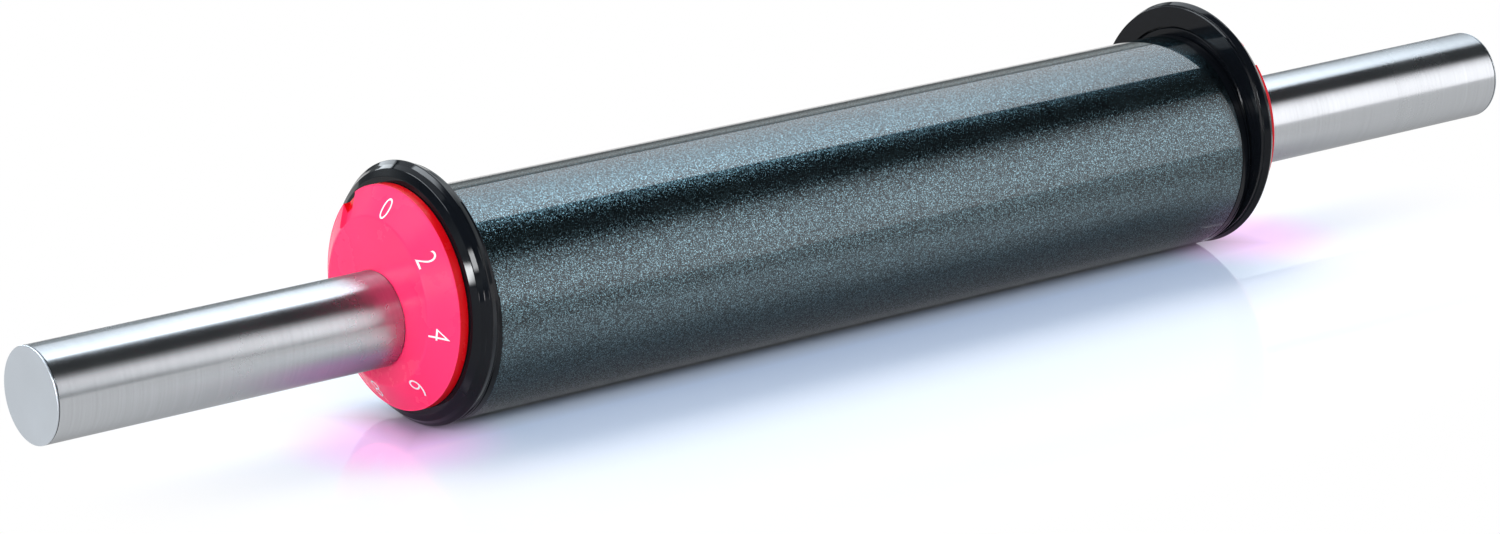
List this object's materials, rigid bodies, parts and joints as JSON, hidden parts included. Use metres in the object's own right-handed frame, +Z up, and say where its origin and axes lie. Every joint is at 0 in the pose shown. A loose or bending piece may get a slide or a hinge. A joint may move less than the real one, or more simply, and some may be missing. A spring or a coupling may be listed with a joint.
{
  "type": "adjustable rolling pin",
  "caption": "Rolling pin with a coated metal roller on ball bearings, steel handles, and eccentric dials with rings that set the dough thickness.",
  "frame": {"origin": "on the table under the middle of the roller, straight below its axis", "axes": "+X along the pin towards the right handle, +Z up, the dials at setting 0 with both ring centres straight above the roller's axis"},
  "size_m": [0.495, 0.069, 0.069],
  "materials": {
    "roller_coating": "graphite grey non-stick coating with fine metallic sparkle, glossy",
    "black_plastic": "gloss",
    "ring_black_plastic": "high gloss",
    "red_plastic": "gloss",
    "handle_steel": "brushed round the handle",
    "end_disc_steel": "satin",
    "plain_steel": "turned",
    "bearing_steel": "ground and polished",
    "cage_steel": "pressed",
    "spring_steel": "phosphated",
    "friction_rubber": "matt"
  },
  "bodies": {
    "axle_and_handles": {"axle": "plain_steel", "left_bearing_inner_race": "bearing_steel", "left_bearing_spacer": "plain_steel", "left_stop_washer": "plain_steel", "left_stop_pin": "plain_steel", "left_friction_rings": "friction_rubber", "left_handle_tube": "handle_steel", "left_handle_insert": "plain_steel", "left_handle_end_disc": "end_disc_steel", "right_bearing_inner_race": "bearing_steel", "right_bearing_spacer": "plain_steel", "right_stop_washer": "plain_steel", "right_stop_pin": "plain_steel", "right_friction_rings": "friction_rubber", "right_handle_tube": "handle_steel", "right_handle_insert": "plain_steel", "right_handle_end_disc": "end_disc_steel"},
    "roller": {"roller_tube": "roller_coating", "left_end_cap": "black_plastic", "left_bearing_outer_race": "bearing_steel", "left_bearing_circlip": "spring_steel", "right_end_cap": "black_plastic", "right_bearing_outer_race": "bearing_steel", "right_bearing_circlip": "spring_steel"},
    "left_ball_set": {"left_bearing_balls": "bearing_steel", "left_bearing_cage": "cage_steel"},
    "left_dial_set": {"left_dial": "red_plastic", "left_ring_retainer": "black_plastic", "left_retainer_screws": "plain_steel"},
    "left_thickness_ring": {"left_ring": "ring_black_plastic"},
    "right_ball_set": {"right_bearing_balls": "bearing_steel", "right_bearing_cage": "cage_steel"},
    "right_dial_set": {"right_dial": "red_plastic", "right_ring_retainer": "black_plastic", "right_retainer_screws": "plain_steel"},
    "right_thickness_ring": {"right_ring": "ring_black_plastic"}
  },
  "joints": [
    {"name": "roller_spin", "type": "hinge", "parent": "axle_and_handles", "child": "roller", "pos_m": [0, 0, 0.03], "axis": [1, 0, 0], "continuous": true},
    {"name": "left_balls_orbit", "type": "hinge", "parent": "axle_and_handles", "child": "left_ball_set", "pos_m": [-0.122, 0, 0.03], "axis": [1, 0, 0], "continuous": true},
    {"name": "left_dial_turn", "type": "hinge", "parent": "axle_and_handles", "child": "left_dial_set", "pos_m": [-0.1392, 0, 0.03], "axis": [-1, 0, 0], "range_deg": [0, 180]},
    {"name": "left_ring_spin", "type": "hinge", "parent": "left_dial_set", "child": "left_thickness_ring", "pos_m": [-0.1346, 0, 0.0345], "axis": [1, 0, 0], "continuous": true},
    {"name": "right_balls_orbit", "type": "hinge", "parent": "axle_and_handles", "child": "right_ball_set", "pos_m": [0.122, 0, 0.03], "axis": [1, 0, 0], "continuous": true},
    {"name": "right_dial_turn", "type": "hinge", "parent": "axle_and_handles", "child": "right_dial_set", "pos_m": [0.1392, 0, 0.03], "axis": [1, 0, 0], "range_deg": [0, 180]},
    {"name": "right_ring_spin", "type": "hinge", "parent": "right_dial_set", "child": "right_thickness_ring", "pos_m": [0.1346, 0, 0.0345], "axis": [1, 0, 0], "continuous": true}
  ],
  "couplings": [
    {"joint": "left_balls_orbit", "follows": "roller_spin", "ratio": 0.6013},
    {"joint": "right_balls_orbit", "follows": "roller_spin", "ratio": 0.6013}
  ]
}
